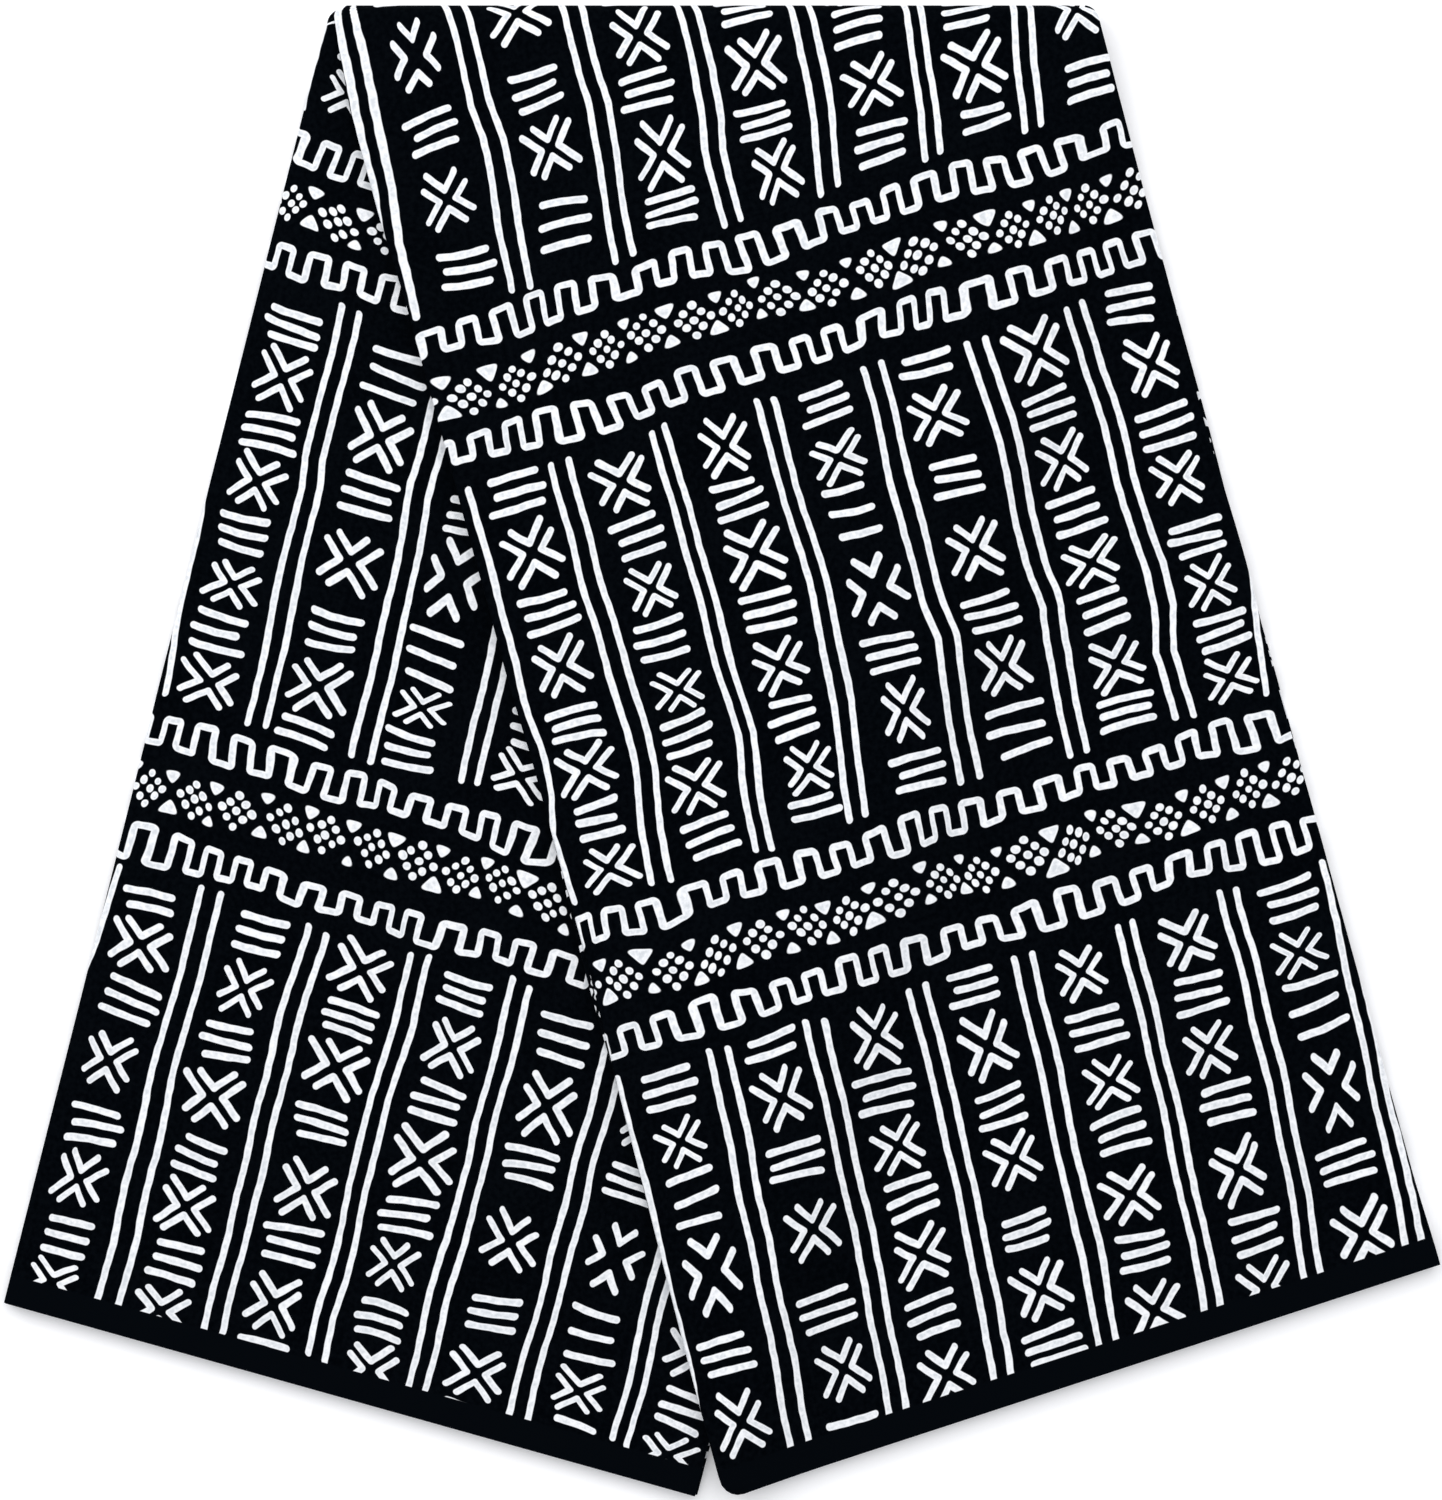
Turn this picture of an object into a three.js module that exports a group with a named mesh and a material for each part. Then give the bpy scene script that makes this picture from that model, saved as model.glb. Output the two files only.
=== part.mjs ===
// A cut length of printed cotton cloth. It is folded back and forth into a strip of six layers, and the
// strip is folded over once on a slant, so that two legs spread like a fan, the front leg over the back one.
//
// Millimetres, +Z up. The cloth lies on the plane z = 0 and is seen from above, with its fold towards +Y.
// The origin is the middle of its footprint, on the surface that it lies on.

import * as THREE from "three";

// The cloth and its stack of layers
const LAYERS = 6;
const CLOTH = 1.0; // thickness of one layer
const LAYER_GAP = 0.35; // air between two layers
const LEG_GAP = 1.2; // air between the two legs where they cross
const PITCH = CLOTH + LAYER_GAP;
const STACK = LAYERS * CLOTH + (LAYERS - 1) * LAYER_GAP;

// Corners of the legs, [x, y]: the ends of the slanted fold, and the ends of the two selvedge edges
const BACK = {
  foldLeft: [-162.0, 297.0],
  foldRight: [149.4, 297.0],
  endLeft: [-293.7, -226.4],
  endRight: [-9.4, -306.0],
};
const FRONT = {
  foldLeft: [-155.2, 297.0],
  foldRight: [155.4, 297.0],
  endLeft: [1.8, -306.6],
  endRight: [294.4, -211.0],
};

// Rows along each leg, as shares of its length from the fold, closer at its crease and its corners
const BACK_ROWS = [0, 0.06, 0.14, 0.22, 0.3, 0.38, 0.44, 0.475, 0.5, 0.525, 0.56, 0.64, 0.74, 0.84, 0.93, 1];
const FRONT_ROWS = [
  0, 0.05, 0.12, 0.2, 0.28, 0.36, 0.41, 0.435, 0.46, 0.51, 0.6, 0.7, 0.8, 0.9, 0.96, 0.985, 0.995, 1,
];
const FOLD_STEPS = 8; // steps round the half turn of the slanted fold

// Points across one layer and round one turn at its side
const COLUMNS = 6;
const TURN_STEPS = 4;
const TURN_INSET = PITCH / 2 + CLOTH / 2; // from a turn's outermost point to its axis

// The front leg comes down to the surface past the back leg's hidden side
const RAMP = { start: 2.5, end: 48 };

// The corners of the fold are rounded off, and so is the front leg's corner by the notch
const FOLD_INSET = { left: 4.7, right: 3.0 };
const CORNER_RADIUS = 8;

// One soft crease lies across each leg. It lifts the stack by its height, and fades out towards "to"
const CREASES = [
  { leg: "back", at: 0.5, height: 0.9, width: 15, from: 0, to: 0.42 },
  { leg: "front", at: 0.435, height: 0.9, width: 14, from: 1, to: 0.3 },
];

// How far each turn or cut edge stands out from the side line. The top of the front leg is layer 0
const SIDES = {
  back: [
    { at: 0.0, left01: 0, left23: 0, left45: 0, right0: 0, right12: 0, right34: 0, right5: 0 },
    { at: 0.2, left01: 0.2, left23: -0.6, left45: 0, right0: -1, right12: 0, right34: -0.6, right5: -1.2 },
    { at: 0.45, left01: -0.4, left23: 0.3, left45: 0.1, right0: -0.5, right12: -0.7, right34: 0, right5: -0.9 },
    { at: 0.7, left01: 0.2, left23: -0.7, left45: -0.1, right0: -1.2, right12: 0, right34: -0.5, right5: -1.4 },
    { at: 1.0, left01: -0.5, left23: 0.2, left45: 0, right0: -0.8, right12: -0.4, right34: 0, right5: -1 },
  ],
  front: [
    { at: 0.0, left01: 0, left23: 0, left45: 0, right0: 0, right12: 0, right34: 0, right5: 0 },
    { at: 0.05, left01: 0.4, left23: 1.1, left45: 0.6, right0: -0.3, right12: 0, right34: -0.3, right5: -0.8 },
    { at: 0.22, left01: 0.2, left23: -0.3, left45: -0.5, right0: -0.3, right12: 0, right34: -0.4, right5: -1 },
    { at: 0.31, left01: 0.5, left23: 0.3, left45: -0.2, right0: -1.3, right12: 0.2, right34: -0.3, right5: -1 },
    { at: 0.43, left01: 0, left23: -0.6, left45: -0.4, right0: 0, right12: -0.6, right34: -0.2, right5: -0.7 },
    { at: 0.52, left01: 0, left23: -0.4, left45: 0, right0: -1.4, right12: 0.3, right34: 0, right5: -1 },
    { at: 0.64, left01: -0.8, left23: 0.9, left45: 0.2, right0: -0.2, right12: 0, right34: -0.7, right5: -1.2 },
    { at: 0.75, left01: 0, left23: -0.3, left45: -0.7, right0: -0.2, right12: -0.2, right34: -0.5, right5: -1 },
    { at: 0.92, left01: 0.3, left23: -0.4, left45: 0, right0: -1.3, right12: 0.3, right34: 0, right5: -0.8 },
    { at: 1.0, left01: 0, left23: -0.5, left45: -0.3, right0: -0.4, right12: 0, right34: -0.4, right5: -1 },
  ],
};

// How far each layer's selvedge ends short of the leg's end line, from layer 0 up
const SHORT_ENDS = {
  back: [0, 1.1, 0.5, 1.4, 0.6, 0.1],
  front: [0.1, 0.8, 1.2, 0.4, 1.0, 0],
};
const SHORT_ENDS_FROM = 0.8; // share of the leg where they begin

const lerp = THREE.MathUtils.lerp;
const clamp = THREE.MathUtils.clamp;
const smooth = THREE.MathUtils.smoothstep;

function mix(a, b, share) {
  return [lerp(a[0], b[0], share), lerp(a[1], b[1], share)];
}

// Distance of a place from the back leg's hidden side, positive outside it
function pastHiddenSide([x, y]) {
  const [x0, y0] = BACK.foldRight;
  const [x1, y1] = BACK.endRight;
  const length = Math.hypot(x1 - x0, y1 - y0);
  return ((x1 - x0) * (y - y0) - (y1 - y0) * (x - x0)) / length;
}

// Height of the front leg's underside
function lift(place) {
  return (STACK + LEG_GAP) * (1 - smooth(pastHiddenSide(place), RAMP.start, RAMP.end));
}

// Where a column of points lies across the front leg, as shares: most of them follow the ramp
const RAMP_COLUMNS = { first: 0.08, lastStart: 0.7, least: 0.1, last: 0.9 };

function rampColumns(left, right) {
  const near = pastHiddenSide(left);
  const far = pastHiddenSide(right);
  const { first, lastStart, least, last } = RAMP_COLUMNS;
  const start = clamp((RAMP.start - near) / (far - near), first, lastStart);
  const end = clamp((RAMP.end - near) / (far - near), start + least, last);
  return [0, start / 2, start, lerp(start, end, 1 / 3), lerp(start, end, 2 / 3), end, 1];
}

const EVEN_COLUMNS = Array.from({ length: COLUMNS + 1 }, (_, i) => i / COLUMNS);
const FOLD_COLUMNS = rampColumns(FRONT.foldLeft, FRONT.foldRight);

// A value from one of the tables above, eased from row to row
function fromTable(rows, at, name) {
  const next = rows.findIndex((row) => row.at >= at);
  if (next <= 0) return rows[0][name];
  const before = rows[next - 1];
  const after = rows[next];
  return lerp(before[name], after[name], smooth(at, before.at, after.at));
}

// How much the creases lift the top of a leg's stack
function creaseLift(leg, at, across, length) {
  let height = 0;
  for (const crease of CREASES) {
    if (crease.leg !== leg) continue;
    const off = ((at - crease.at) * length) / crease.width;
    const fade = 1 - Math.abs(across - crease.from) / Math.abs(crease.to - crease.from);
    height += crease.height * Math.exp(-off * off) * smooth(fade, 0, 1);
  }
  return height;
}

// The path of the cloth back and forth across the stack, from the cut edge under layer 0 to that of layer
// 5. Each point has a column or a turn, its height in the stack, and the direction that the printed face
// looks in: out is to the right, up is away from layer 0.
function foldedPath() {
  const path = [];
  for (let layer = 0; layer < LAYERS; layer += 1) {
    const goesLeft = layer % 2 === 0;
    const height = CLOTH / 2 + layer * PITCH;
    const face = { out: 0, up: goesLeft ? -1 : 1 };
    for (let step = 0; step <= COLUMNS; step += 1) {
      const column = goesLeft ? COLUMNS - step : step;
      path.push({ layer, column, reach: 0, height, face });
    }
    if (layer === LAYERS - 1) continue;
    for (let step = 1; step < TURN_STEPS; step += 1) {
      const angle = (Math.PI * step) / TURN_STEPS;
      const up = goesLeft ? -Math.cos(angle) : Math.cos(angle);
      path.push({
        layer: layer + step / TURN_STEPS,
        column: goesLeft ? 0 : COLUMNS,
        reach: (goesLeft ? -1 : 1) * (PITCH / 2) * Math.sin(angle),
        height: height + (PITCH / 2) * (1 - Math.cos(angle)),
        face: { out: -Math.sin(angle), up },
      });
    }
  }
  return path;
}

// The name, in SIDES, of the turn or cut edge at one end of a layer
function sideName(layer, column) {
  const below = Math.floor(layer);
  if (column === 0) return ["left01", "left01", "left23", "left23", "left45", "left45"][below];
  return ["right0", "right12", "right12", "right34", "right34", "right5"][below];
}

// The distance, in millimetres, from the left end of a row to a point of the path, along the row
function alongRow(point, row) {
  const isSide = point.column === 0 || point.column === COLUMNS;
  if (!isSide) return row.columns[point.column] * row.width;
  const name = sideName(point.layer, point.column);
  const isCut = name === "right0" || name === "right5";
  const out = fromTable(row.sides, row.at, name) - (isCut ? 0 : TURN_INSET);
  return point.column === 0 ? row.insetLeft - out : row.width - row.insetRight + out;
}

// A row across one leg. Its place() turns a distance along the row and a height in the stack into x, y, z
function legRow(name, corners, at) {
  const left = mix(corners.foldLeft, corners.endLeft, at);
  const right = mix(corners.foldRight, corners.endRight, at);
  const width = Math.hypot(right[0] - left[0], right[1] - left[1]);
  const across = [(right[0] - left[0]) / width, (right[1] - left[1]) / width];
  const length = Math.hypot(
    (corners.endLeft[0] + corners.endRight[0] - corners.foldLeft[0] - corners.foldRight[0]) / 2,
    (corners.endLeft[1] + corners.endRight[1] - corners.foldLeft[1] - corners.foldRight[1]) / 2,
  );
  const down = [across[1], -across[0]];
  const fromEnd = (1 - at) * length;
  const corner = name === "front" ? Math.max(0, CORNER_RADIUS - fromEnd) : 0;
  const columns =
    name === "front"
      ? rampColumns(left, right)
      : EVEN_COLUMNS.map((even, i) => lerp(FOLD_COLUMNS[i], even, Math.min(1, at / 0.3)));
  return {
    at,
    width,
    columns,
    sides: SIDES[name],
    insetLeft: CORNER_RADIUS - Math.sqrt(CORNER_RADIUS ** 2 - corner ** 2),
    insetRight: 0,
    place(distance, height, layer) {
      const ends = SHORT_ENDS[name];
      const below = Math.floor(layer);
      const short = lerp(ends[below], ends[Math.min(below + 1, LAYERS - 1)], layer - below);
      const back = -short * smooth(at, SHORT_ENDS_FROM, 1);
      const x = left[0] + across[0] * distance + down[0] * back;
      const y = left[1] + across[1] * distance + down[1] * back;
      const grown = 1 + creaseLift(name, at, distance / width, length) / STACK;
      const z = name === "front" ? lift([x, y]) + (STACK - height) * grown : height * grown;
      return [x, y, z];
    },
  };
}

// A row part of the way round the slanted fold, which is a half turn about a line along x
function foldRow(turned) {
  const angle = Math.PI * turned;
  const left = lerp(BACK.foldLeft[0], FRONT.foldLeft[0], turned);
  const right = lerp(BACK.foldRight[0], FRONT.foldRight[0], turned);
  const axis = STACK + LEG_GAP / 2;
  return {
    at: 0,
    width: right - left,
    columns: FOLD_COLUMNS,
    sides: SIDES.front,
    insetLeft: FOLD_INSET.left * Math.sin(angle) ** 4,
    insetRight: FOLD_INSET.right * Math.sin(angle) ** 4,
    place(distance, height) {
      const radius = axis - height;
      return [
        left + distance,
        BACK.foldLeft[1] + radius * Math.sin(angle),
        axis - radius * Math.cos(angle),
      ];
    },
  };
}

// All rows in order: up the back leg from its selvedge, round the fold and down the front leg
function allRows() {
  const rows = [];
  for (const at of [...BACK_ROWS].reverse()) rows.push(legRow("back", BACK, at));
  for (let step = 1; step < FOLD_STEPS; step += 1) rows.push(foldRow(step / FOLD_STEPS));
  for (const at of FRONT_ROWS) rows.push(legRow("front", FRONT, at));
  return rows;
}

// The folded cloth as one closed body: a printed face, a back face, two cut edges and two selvedges
function foldedClothGeometry() {
  const path = foldedPath();
  const rows = allRows();
  const count = path.length;
  const positions = [];
  for (const side of [1, -1]) {
    for (const row of rows) {
      for (const point of path) {
        const off = (side * CLOTH) / 2;
        const distance = alongRow(point, row) + point.reach + point.face.out * off;
        positions.push(...row.place(distance, point.height + point.face.up * off, point.layer));
      }
    }
  }

  const faceSize = rows.length * count;
  const printed = (row, i) => row * count + i;
  const reverse = (row, i) => faceSize + row * count + i;
  const indices = [];
  const quad = (a, b, c, d) => indices.push(a, b, c, a, c, d);
  for (let row = 0; row + 1 < rows.length; row += 1) {
    for (let i = 0; i + 1 < count; i += 1) {
      const top = [printed(row, i), printed(row, i + 1), printed(row + 1, i + 1), printed(row + 1, i)];
      const under = [reverse(row, i), reverse(row + 1, i), reverse(row + 1, i + 1), reverse(row, i + 1)];
      // Every layer is split along the same diagonal, whichever way the path runs, so that none crosses
      const runsLeft = Math.floor(path[i].layer) % 2 === 0;
      for (const [a, b, c, d] of [top, under]) {
        if (runsLeft) quad(a, b, c, d);
        else quad(b, c, d, a);
      }
    }
    quad(printed(row, 0), printed(row + 1, 0), reverse(row + 1, 0), reverse(row, 0));
    const cut = count - 1;
    quad(printed(row, cut), reverse(row, cut), reverse(row + 1, cut), printed(row + 1, cut));
  }
  const last = rows.length - 1;
  for (let i = 0; i + 1 < count; i += 1) {
    quad(printed(0, i), reverse(0, i), reverse(0, i + 1), printed(0, i + 1));
    quad(printed(last, i), printed(last, i + 1), reverse(last, i + 1), reverse(last, i));
  }

  const geometry = new THREE.BufferGeometry();
  geometry.setAttribute("position", new THREE.Float32BufferAttribute(positions, 3));
  geometry.setIndex(indices);
  geometry.computeVertexNormals();
  return geometry;
}

const printedCotton = new THREE.MeshStandardMaterial({ color: 0x0a0b10, roughness: 0.85, metalness: 0 });
const foldedCloth = new THREE.Mesh(foldedClothGeometry(), printedCotton);
foldedCloth.name = "folded_cloth";

const clothLength = new THREE.Group();
clothLength.add(foldedCloth);

export default clothLength;
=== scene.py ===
import math
import random

import bpy
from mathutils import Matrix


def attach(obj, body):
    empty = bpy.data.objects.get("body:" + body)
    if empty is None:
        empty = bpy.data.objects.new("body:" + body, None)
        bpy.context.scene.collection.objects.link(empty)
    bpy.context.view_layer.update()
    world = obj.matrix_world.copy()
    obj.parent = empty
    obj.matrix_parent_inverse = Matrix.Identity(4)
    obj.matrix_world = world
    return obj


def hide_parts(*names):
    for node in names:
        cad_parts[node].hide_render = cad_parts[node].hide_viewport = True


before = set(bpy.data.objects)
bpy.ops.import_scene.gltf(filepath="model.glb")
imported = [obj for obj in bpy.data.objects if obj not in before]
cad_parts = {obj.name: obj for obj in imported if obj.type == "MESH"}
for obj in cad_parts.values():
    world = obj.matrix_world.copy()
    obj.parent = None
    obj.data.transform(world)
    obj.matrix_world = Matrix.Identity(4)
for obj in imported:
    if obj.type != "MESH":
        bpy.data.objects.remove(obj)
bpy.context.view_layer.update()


# Folded cloth: how it lies
# A cut length of plain-woven cotton, folded back and forth into a strip of six layers, and folded over once
# on a slant. It is one sheet on the middle of its solid's layers. Lengths are in millimetres until the mesh.
MM = 0.001
CLOTH_WIDTH = 1172.0  # from selvedge to selvedge, along the strip
LAYERS = 6
LAYER_PITCH = 1.35
FIRST_MIDDLE = 0.5  # height of the lowest layer's middle
STACK = 2 * FIRST_MIDDLE + (LAYERS - 1) * LAYER_PITCH  # height of the six layers
LEG_GAP = 1.2  # between the back leg's top and the front leg's underside
SHEET_THICKNESS = 0.7

BACK_LEG = {
    "fold_left": (-162.0, 297.0),
    "fold_right": (149.4, 297.0),
    "end_left": (-293.7, -226.4),
    "end_right": (-9.4, -306.0),
}
FRONT_LEG = {
    "fold_left": (-155.2, 297.0),
    "fold_right": (155.4, 297.0),
    "end_left": (1.8, -306.6),
    "end_right": (294.4, -211.0),
}
STRIP_WIDTH = 299.8  # from one outermost turn to the next
HIDDEN_WIDTH = 295.35  # the same on the four hidden layers, which are slack
SLANT = math.radians(14.7)  # of the strip's length to the fold
FOLD_AT = {"left": 630.7, "right": 533.7}  # along the strip, from the front leg's selvedge

LAYER_COLUMNS = 28
TURN_STEPS = 6
TURN_RADIUS = LAYER_PITCH / 2
TURN_INSET = 1.175  # from the solid's side line to the axis of a turn
FOLD_STEPS = 14
LEG_STEPS = 86
CORNER_ROWS = (0.0, 0.6, 1.6, 3.2, 5.5, 9.0)  # distances of the closer rows from the selvedge
USUAL_LEG = 590.0  # a leg's length, for those distances alone

RAMP_START, RAMP_END = 2.5, 48.0  # past the back leg's hidden side, where the front leg comes down
FOLD_INSET = {"left": 4.7, "right": 3.0}  # how far the fold's rounded ends draw in
CORNER_RADIUS = 8.0  # of the front leg's lower left corner

# How far each turn or cut edge stands out from the side line, at shares of a leg's length from the fold.
# "left01" is the turn from layer 0 to layer 1, and "right0" is the cut edge of layer 0.
SIDE_COLUMNS = ("at", "left01", "left23", "left45", "right0", "right12", "right34", "right5")
SIDES = {
    "back": (
        (0.0, 0, 0, 0, 0, 0, 0, 0),
        (0.2, 0.2, -0.6, 0, -1, 0, -0.6, -1.2),
        (0.45, -0.4, 0.3, 0.1, -0.5, -0.7, 0, -0.9),
        (0.7, 0.2, -0.7, -0.1, -1.2, 0, -0.5, -1.4),
        (1.0, -0.5, 0.2, 0, -0.8, -0.4, 0, -1),
    ),
    "front": (
        (0.0, 2.2, 0, 0, 0, 0, 0, 0),
        (0.02, 3.6, 0.5, 0.3, -0.1, 0, -0.1, -0.3),
        (0.06, 5.2, 1.1, 0.6, -0.3, 0, -0.3, -0.8),
        (0.12, 4.8, 0.4, 0.0, -0.3, 0, -0.3, -0.9),
        (0.2, 3.0, -0.3, -0.5, -0.3, 0, -0.4, -1),
        (0.31, 2.2, 0.3, -0.2, -1.3, 0.2, -0.3, -1),
        (0.43, 1.5, -0.6, -0.4, 0, -0.6, -0.2, -0.7),
        (0.52, 0, -0.4, 0, -0.9, 0.0, 0, -1),
        (0.64, -0.8, 0.9, 0.2, -0.2, 0, -0.7, -1.2),
        (0.75, 0, -0.3, -0.7, -0.2, -0.2, -0.5, -1),
        (0.92, 0.3, -0.4, 0, -0.2, -0.3, 0, -0.8),
        (1.0, 0, -0.5, -0.3, 0.8, -0.2, -0.4, -1),
    ),
}
LEFT_NAMES = ("left01", "left01", "left23", "left23", "left45", "left45")
RIGHT_NAMES = ("right0", "right12", "right12", "right34", "right34", "right5")

# How far each layer's selvedge ends short of the leg's end line
SHORT_ENDS = {"back": (0, 1.1, 0.5, 1.4, 0.6, 0.1), "front": (0.1, 0.8, 1.2, 0.4, 1.0, 0)}
SHORT_ENDS_FROM = 0.8  # share of the leg's length from which they draw back

# Soft creases lift the stack: across a leg at "at", strongest at share "of" and gone at share "to"
CREASES = (
    dict(leg="back", at=0.5, lean=0.0, height=0.9, width=13, of=0.0, to=0.42),
    dict(leg="back", at=0.535, lean=0.02, height=0.35, width=9, of=0.1, to=0.5),
    dict(leg="front", at=0.435, lean=0.0, height=0.9, width=12, of=1.0, to=0.25),
    dict(leg="front", at=0.475, lean=-0.03, height=0.3, width=10, of=0.8, to=0.2),
    dict(leg="front", at=0.66, lean=0.05, height=0.35, width=22, of=0.25, to=0.8),
    dict(leg="front", at=0.17, lean=-0.06, height=0.3, width=20, of=0.6, to=0.05),
    dict(leg="back", at=0.8, lean=0.03, height=0.3, width=20, of=0.5, to=1.0),
)

# Low waves in the top layers: height, length along the leg, length across it, and phase
WAVES = ((0.22, 173.0, 420.0, 0.4), (0.16, 96.0, -230.0, 1.9), (0.12, 61.0, 141.0, 4.1))
RELIEF_FULL_AT = 0.06  # share of a leg's length from the fold, where creases and waves are in full


def between(a, b, share):
    return a + (b - a) * share


def eased(value, low, high):
    share = min(1.0, max(0.0, (value - low) / (high - low)))
    return share * share * (3 - 2 * share)


def stands_out(rows, at, name):
    """How far a turn or cut edge stands out at a share of a leg's length, eased from row to row."""
    column = SIDE_COLUMNS.index(name)
    after = next((i for i, row in enumerate(rows) if row[0] >= at), len(rows) - 1)
    if after == 0:
        return rows[0][column]
    share = eased(at, rows[after - 1][0], rows[after][0])
    return between(rows[after - 1][column], rows[after][column], share)


def past_hidden_side(x, y):
    """Distance from the back leg's hidden side, positive outside it."""
    x0, y0 = BACK_LEG["fold_right"]
    x1, y1 = BACK_LEG["end_right"]
    return ((x1 - x0) * (y - y0) - (y1 - y0) * (x - x0)) / math.hypot(x1 - x0, y1 - y0)


def front_lift(x, y):
    """Height of the front leg's underside: on the back leg, and then down to the surface."""
    return (STACK + LEG_GAP) * (1 - eased(past_hidden_side(x, y), RAMP_START, RAMP_END))


def relief(leg, at, share, length):
    """How much creases and waves lift the top of the stack."""
    height = 0.0
    for crease in CREASES:
        if crease["leg"] == leg:
            off = (at - crease["at"] - crease["lean"] * (share - 0.5)) * length / crease["width"]
            fade = 1 - abs(share - crease["of"]) / abs(crease["to"] - crease["of"])
            height += crease["height"] * math.exp(-off * off) * eased(fade, 0, 1)
    down, over = at * length, share * STRIP_WIDTH
    for lift, along, across, phase in WAVES:
        height += lift * (1 + math.sin(2 * math.pi * (down / along + over / across) + phase)) / 2
    return height


def stations():
    """The sheet's points across its cut length: back and forth through the stack, with turns between."""
    found = []
    reached = 0.0
    for layer in range(LAYERS):
        goes_left = layer % 2 == 0
        shown = layer in (0, LAYERS - 1)
        flat_width = STRIP_WIDTH if shown else HIDDEN_WIDTH
        turn_length = math.pi * TURN_RADIUS
        layer_width = flat_width - turn_length
        height = FIRST_MIDDLE + layer * LAYER_PITCH
        for step in range(LAYER_COLUMNS + 1):
            share = step / LAYER_COLUMNS
            found.append(dict(
                layer=layer,
                share=1 - share if goes_left else share,
                is_end=step in (0, LAYER_COLUMNS),
                reach=0.0,
                height=height,
                cut=reached + layer_width * share,
            ))
        reached += layer_width
        if layer == LAYERS - 1:
            break
        for step in range(1, TURN_STEPS):
            angle = math.pi * step / TURN_STEPS
            found.append(dict(
                layer=layer + step / TURN_STEPS,
                share=0.0 if goes_left else 1.0,
                is_end=True,
                reach=(-1 if goes_left else 1) * TURN_RADIUS * math.sin(angle),
                height=height + TURN_RADIUS * (1 - math.cos(angle)),
                cut=reached + turn_length * step / TURN_STEPS,
            ))
        reached += turn_length
    return found


def side_distance(station, sides, at, width, inset_left, inset_right):
    """Distance of a station from the left end of its row, along the row."""
    if not station["is_end"]:
        return station["share"] * width
    below = int(station["layer"])
    is_left = station["share"] == 0
    name = (LEFT_NAMES if is_left else RIGHT_NAMES)[below]
    out = stands_out(sides, at, name) - (0 if name in ("right0", "right5") else TURN_INSET)
    return inset_left - out if is_left else width - inset_right + out


def half_turn_length(height):
    """Half the length of cloth that a layer takes to go round the slanted fold."""
    return math.pi / 2 * (STACK + LEG_GAP / 2 - height) / math.cos(SLANT)


def on_leg(leg, corners, at, station):
    """(x, y, z) of a station on a leg, and its distance along the strip from the front selvedge."""
    left = [between(a, b, at) for a, b in zip(corners["fold_left"], corners["end_left"])]
    right = [between(a, b, at) for a, b in zip(corners["fold_right"], corners["end_right"])]
    width = math.dist(left, right)
    across = ((right[0] - left[0]) / width, (right[1] - left[1]) / width)
    down = (across[1], -across[0])
    share = station["share"]
    fold_at = between(FOLD_AT["left"], FOLD_AT["right"], share)
    length = (fold_at if leg == "front" else CLOTH_WIDTH - fold_at) - half_turn_length(station["height"])
    from_end = (1 - at) * length
    corner = max(0.0, CORNER_RADIUS - from_end) if leg == "front" else 0.0
    inset = CORNER_RADIUS - math.sqrt(CORNER_RADIUS ** 2 - corner ** 2)
    along_row = side_distance(station, SIDES[leg], at, width, inset, 0.0) + station["reach"]
    below = int(station["layer"])
    ends = SHORT_ENDS[leg]
    short = between(ends[below], ends[min(below + 1, LAYERS - 1)], station["layer"] - below)
    drawn_back = -short * eased(at, SHORT_ENDS_FROM, 1)
    x = left[0] + across[0] * along_row + down[0] * drawn_back
    y = left[1] + across[1] * along_row + down[1] * drawn_back
    grown = 1 + relief(leg, at, share, length) * eased(at, 0, RELIEF_FULL_AT) / STACK
    if leg == "front":
        return (x, y, front_lift(x, y) + (STACK - station["height"]) * grown), from_end
    return (x, y, station["height"] * grown), CLOTH_WIDTH - from_end


def on_fold(turned, station):
    """The same for a station part of the way round the slanted fold, 0 at the back leg and 1 at the front."""
    angle = math.pi * turned
    left = between(BACK_LEG["fold_left"][0], FRONT_LEG["fold_left"][0], turned)
    right = between(BACK_LEG["fold_right"][0], FRONT_LEG["fold_right"][0], turned)
    rounding = math.sin(angle) ** 4
    inset_left, inset_right = FOLD_INSET["left"] * rounding, FOLD_INSET["right"] * rounding
    back_row, front_row = (
        side_distance(station, SIDES[leg], 0.0, right - left, inset_left, inset_right)
        for leg in ("back", "front")
    )
    along_row = between(back_row, front_row, turned)
    axis = STACK + LEG_GAP / 2
    radius = axis - station["height"]
    place = (
        left + along_row + station["reach"],
        BACK_LEG["fold_left"][1] + radius * math.sin(angle),
        axis - radius * math.cos(angle),
    )
    fold_at = between(FOLD_AT["left"], FOLD_AT["right"], station["share"])
    return place, fold_at + half_turn_length(station["height"]) * (1 - 2 * turned)


def row_shares():
    """Shares of a leg's length from the fold, closer at the selvedge's corners."""
    close = [1 - distance / USUAL_LEG for distance in CORNER_ROWS]
    last = close[-1]
    even = [last * (i / LEG_STEPS) for i in range(LEG_STEPS)]
    return even + sorted(close)


across_cut = stations()
shares = row_shares()
rows = [[on_leg("back", BACK_LEG, at, station) for station in across_cut] for at in reversed(shares)]
for step in range(1, FOLD_STEPS):
    rows.append([on_fold(step / FOLD_STEPS, station) for station in across_cut])
rows += [[on_leg("front", FRONT_LEG, at, station) for station in across_cut] for at in shares]


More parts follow.
